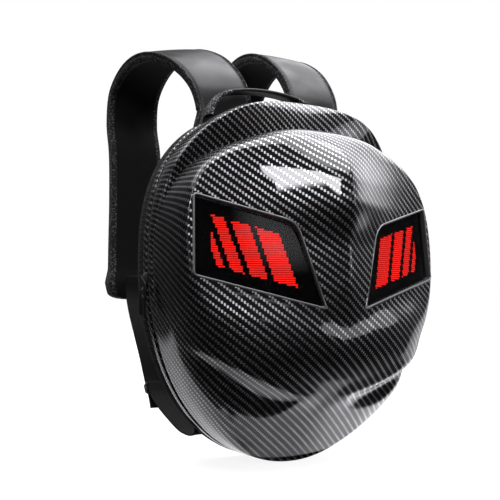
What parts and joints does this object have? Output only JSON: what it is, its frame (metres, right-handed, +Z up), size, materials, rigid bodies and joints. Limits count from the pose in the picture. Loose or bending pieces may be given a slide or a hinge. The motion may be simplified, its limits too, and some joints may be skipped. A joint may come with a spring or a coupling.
{
  "type": "hard-shell backpack",
  "caption": "Waterproof hard-shell backpack with a domed carbon-look front, slanted display windows, a zip around the rim, padded shoulder straps and a carry handle.",
  "frame": {"origin": "middle of the back panel's face, where the pack lies against the wearer's back", "axes": "+Z up, +Y from the pack towards the wearer, +X to the right of someone who looks at the front"},
  "size_m": [0.3494, 0.4372, 0.5508],
  "materials": {
    "carbon_shell": "clear-coated twill weave print, gloss",
    "frame_plastic": "satin black",
    "smoked_pane": "clear smoked gloss",
    "display_board": "black board with red light dots",
    "zip_fabric": "woven tape",
    "zip_plastic": "moulded teeth",
    "zip_metal": "black paint",
    "handle_rubber": "satin",
    "panel_fabric": "air mesh",
    "strap_fabric": "coated face, mesh edge and lining",
    "webbing": "ribbed weave",
    "buckle_plastic": "satin black"
  },
  "bodies": {
    "root": {"front_shell": "carbon_shell", "rear_rim": "carbon_shell", "back_panel": "panel_fabric", "zip_tape": "zip_fabric", "zip_chain": "zip_plastic", "zip_slider_1": "zip_metal", "zip_slider_2": "zip_metal", "zip_pull_1": "handle_rubber", "zip_pull_2": "handle_rubber", "visor_frame_left": "frame_plastic", "visor_frame_right": "frame_plastic", "visor_pane_left": "smoked_pane", "visor_pane_right": "smoked_pane", "display_panel_left": "display_board", "display_panel_right": "display_board", "shoulder_strap_left": "strap_fabric", "shoulder_strap_right": "strap_fabric", "adjuster_webbing_left": "webbing", "adjuster_webbing_right": "webbing", "anchor_webbing_left": "webbing", "anchor_webbing_right": "webbing", "adjuster_buckle_left": "buckle_plastic", "adjuster_buckle_right": "buckle_plastic", "carry_handle": "handle_rubber"}
  },
  "joints": []
}
